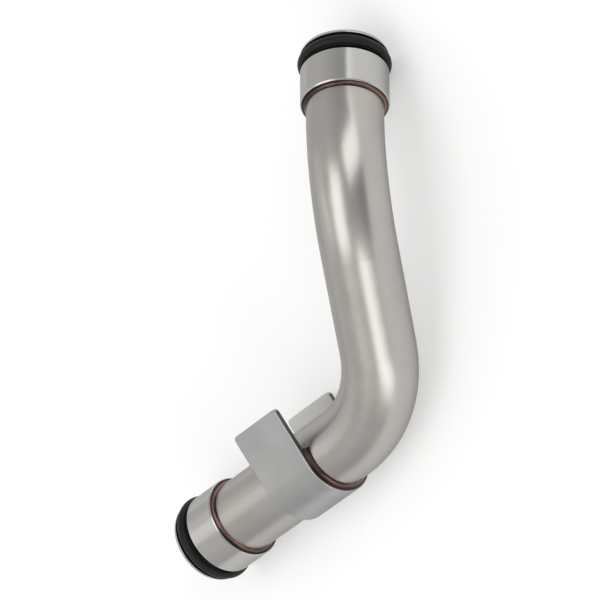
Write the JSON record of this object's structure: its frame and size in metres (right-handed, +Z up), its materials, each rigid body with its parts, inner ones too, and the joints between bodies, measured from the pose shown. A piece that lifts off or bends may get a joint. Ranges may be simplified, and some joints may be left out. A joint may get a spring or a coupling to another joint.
{
  "type": "turbo oil return line",
  "caption": "Bent steel oil drain tube with a brazed end fitting and rubber sealing ring at each end, and a brazed U-shaped strap bracket on its lower run.",
  "frame": {"origin": "centre of the bounding box at the surface the part lies on", "axes": "+Z up from the surface, -X the way the lower end's mouth points, +Y from the lower run towards the upper end"},
  "size_m": [0.1286, 0.1024, 0.0357],
  "materials": {
    "tube_steel": "satin, bare steel",
    "fitting_steel": "turned, satin",
    "bracket_steel": "cold-rolled strip, satin",
    "rubber": "smooth, low sheen",
    "braze": "copper braze, darkened"
  },
  "bodies": {
    "root": {"bracket_braze": "braze", "lower_braze_ring": "braze", "lower_end_fitting": "fitting_steel", "lower_sealing_ring": "rubber", "strap_bracket": "bracket_steel", "tube": "tube_steel", "upper_braze_ring": "braze", "upper_end_fitting": "fitting_steel", "upper_sealing_ring": "rubber"}
  },
  "joints": []
}
